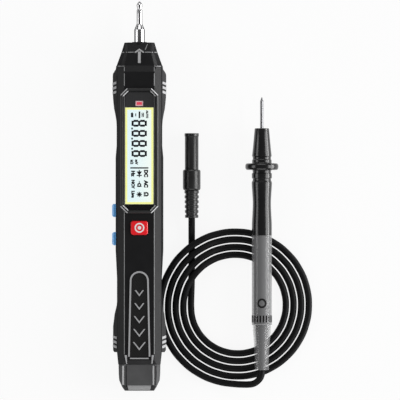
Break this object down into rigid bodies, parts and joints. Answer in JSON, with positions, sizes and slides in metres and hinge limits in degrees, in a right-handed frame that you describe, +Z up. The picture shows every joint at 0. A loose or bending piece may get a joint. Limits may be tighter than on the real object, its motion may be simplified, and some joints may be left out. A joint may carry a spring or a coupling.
{
  "type": "voltage tester",
  "caption": "Pen-shaped voltage tester and multimeter with a display, a steel test tip and a tail jack, lying beside its coiled test lead with plug and probe.",
  "frame": {"origin": "under the middle of the pen, on the plane that its back lies on", "axes": "+X across the pen towards the test lead, +Y along the pen towards its steel tip, +Z up out of the display"},
  "size_m": [0.1101, 0.214, 0.021],
  "materials": {
    "body_black": "fine matte moulding",
    "steel": "turned and polished",
    "brass": "turned",
    "copper": "rolled strip",
    "bezel_black": "satin",
    "clear_window": "clear, polished",
    "lcd_glass": "pale, lit from behind",
    "light_guide": "milky",
    "strip_rubber": "matte",
    "red_lens": "clear red",
    "red_plastic": "satin",
    "blue_plastic": "satin",
    "board_green": "lacquered",
    "switch_black": "matte",
    "disc_blue": "lacquered",
    "cell_jacket": "plain jacket",
    "spring_steel": "nickel plated",
    "grip_rubber": "fine texture",
    "grip_grey": "matte",
    "trim_silver": "pale grey",
    "tail_grey": "matte",
    "red_wire": "insulated wire",
    "lead_black": "satin",
    "cord_black": "smooth sheath",
    "handle_grey": "satin"
  },
  "bodies": {
    "housing": {"front_shell": "body_black", "rear_shell": "body_black", "nose_cap": "body_black", "tester_tip": "steel", "tip_contact": "brass", "sensing_antenna": "copper", "display_bezel": "bezel_black", "display_window": "clear_window", "lcd_panel": "lcd_glass", "lcd_backlight": "light_guide", "lcd_contact_strip": "strip_rubber", "indicator_lens": "red_lens", "indicator_led": "light_guide", "circuit_board": "board_green", "select_switch": "switch_black", "side_switches": "switch_black", "board_chips": "switch_black", "input_thermistor": "disc_blue", "buzzer": "switch_black", "left_battery": "cell_jacket", "right_battery": "cell_jacket", "battery_contacts": "spring_steel", "battery_springs": "spring_steel", "grip_panel": "grip_rubber", "grip_trim": "trim_silver", "grip_chevrons": "trim_silver", "upper_left_grip": "grip_grey", "upper_right_grip": "grip_grey", "lower_left_grip": "grip_grey", "lower_right_grip": "grip_grey", "grip_slashes": "trim_silver", "tail_block": "tail_grey", "jack_sleeve": "brass", "jack_wire": "red_wire", "housing_screws": "spring_steel", "plug_shroud": "lead_black", "plug_pin": "brass", "plug_grip": "lead_black", "plug_relief": "lead_black", "lead_run": "cord_black", "lead_coil": "cord_black", "lead_tail": "cord_black", "probe_relief": "handle_grey", "probe_rear_handle": "handle_grey", "probe_ring_mark": "lead_black", "probe_front_handle": "lead_black", "probe_ferrule": "brass", "probe_needle": "steel"},
    "select_button": {"select_button": "red_plastic"},
    "upper_side_button": {"upper_side_button": "blue_plastic"},
    "lower_side_button": {"lower_side_button": "blue_plastic"},
    "battery_door": {"battery_door": "body_black"}
  },
  "joints": [
    {"name": "select_press", "type": "slide", "parent": "housing", "child": "select_button", "axis": [0, 0, -1], "range_m": [0, 0.0006], "stiffness_N_per_m": 1200, "springref_m": -0.0003},
    {"name": "upper_side_press", "type": "slide", "parent": "housing", "child": "upper_side_button", "axis": [1, 0, 0], "range_m": [0, 0.0005], "stiffness_N_per_m": 1200, "springref_m": -0.0003},
    {"name": "lower_side_press", "type": "slide", "parent": "housing", "child": "lower_side_button", "axis": [1, 0, 0], "range_m": [0, 0.0005], "stiffness_N_per_m": 1200, "springref_m": -0.0003},
    {"name": "door_slide", "type": "slide", "parent": "housing", "child": "battery_door", "axis": [0, -1, 0], "range_m": [0, 0.046]}
  ]
}
